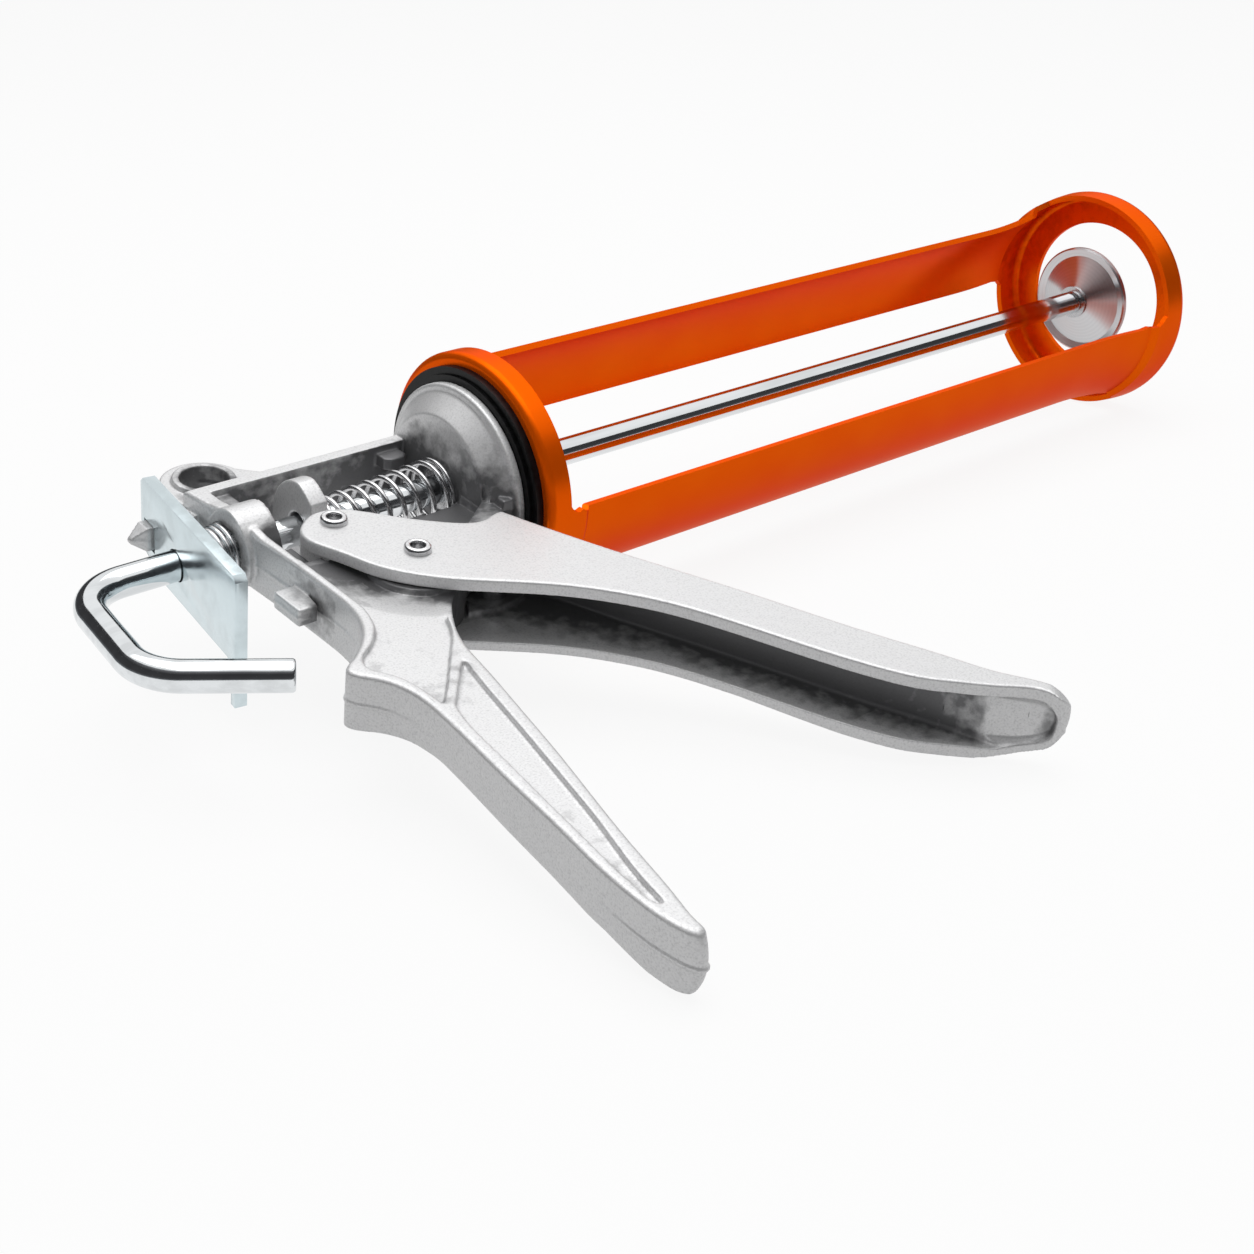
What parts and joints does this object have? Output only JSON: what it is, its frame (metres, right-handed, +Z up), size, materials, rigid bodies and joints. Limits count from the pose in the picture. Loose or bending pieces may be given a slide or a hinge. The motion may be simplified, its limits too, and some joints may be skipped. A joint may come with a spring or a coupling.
{
  "type": "caulking gun",
  "caption": "Skeleton caulking gun with a revolving frame for a standard cartridge, sprung trigger and driving dog, hooked push rod and sprung release plate.",
  "frame": {"origin": "centre of the round nozzle opening on the front face of the frame's cup, on the push rod's axis", "axes": "+X along the push rod towards the nozzle, +Z straight up while the gun lies at rest on the cup's rim and the trigger's tip, handles towards -Y"},
  "size_m": [0.3429, 0.1807, 0.062],
  "materials": {
    "cast_aluminium": "matte cast",
    "orange_paint": "gloss",
    "chrome": "bright",
    "polished_steel": "polished",
    "steel": "satin",
    "spring_steel": "bright wire",
    "zinc_plate": "zinc plated, bluish",
    "black_rubber": "satin"
  },
  "bodies": {
    "body": {"body_casting": "cast_aluminium", "rear_guide_bush": "steel", "front_guide_bush": "steel", "pivot_sleeve": "steel", "seal_ring": "black_rubber", "retainer_washer": "steel", "retainer_clip": "spring_steel", "drive_spring": "spring_steel", "release_spring": "spring_steel"},
    "cradle": {"rear_collar": "orange_paint", "rail_far": "orange_paint", "rail_near": "orange_paint", "front_cup": "orange_paint"},
    "rod": {"push_rod": "chrome", "collar_washer": "steel", "front_washer": "steel", "end_nut": "steel"},
    "piston": {"piston_disc": "polished_steel"},
    "trigger": {"trigger": "cast_aluminium", "pivot_rivet": "steel", "drive_rivet": "steel", "pivot_washer_upper": "steel", "pivot_washer_lower": "steel", "drive_sleeve": "steel"},
    "dog": {"drive_dog": "steel", "spring_seat": "steel"},
    "release": {"release_plate": "zinc_plate"}
  },
  "joints": [
    {"name": "cradle_spin", "type": "hinge", "parent": "body", "child": "cradle", "pos_m": [-0.239, 0, 0], "axis": [1, 0, 0], "continuous": true},
    {"name": "rod_slide", "type": "slide", "parent": "body", "child": "rod", "axis": [1, 0, 0], "range_m": [-0.215, 0]},
    {"name": "piston_spin", "type": "hinge", "parent": "rod", "child": "piston", "pos_m": [-0.01, 0, 0], "axis": [1, 0, 0], "continuous": true},
    {"name": "trigger_swing", "type": "hinge", "parent": "body", "child": "trigger", "pos_m": [-0.2777, -0.03198, -0.00519], "axis": [0, -0.1603, 0.9871], "range_deg": [-32, 0], "stiffness_Nm_per_rad": 0.19, "springref_deg": 45.84},
    {"name": "dog_slide", "type": "slide", "parent": "body", "child": "dog", "axis": [1, 0, 0], "range_m": [0, 0.011], "deforming": ["drive_spring"]},
    {"name": "release_swing", "type": "hinge", "parent": "body", "child": "release", "pos_m": [-0.3107, 0.01333, 0.00216], "axis": [0, -0.1603, 0.9871], "range_deg": [0, 7], "stiffness_Nm_per_rad": 0.3, "springref_deg": -17.19, "deforming": ["release_spring"]}
  ],
  "couplings": [
    {"joint": "dog_slide", "follows": "trigger_swing", "m_per_rad": -0.0194}
  ]
}
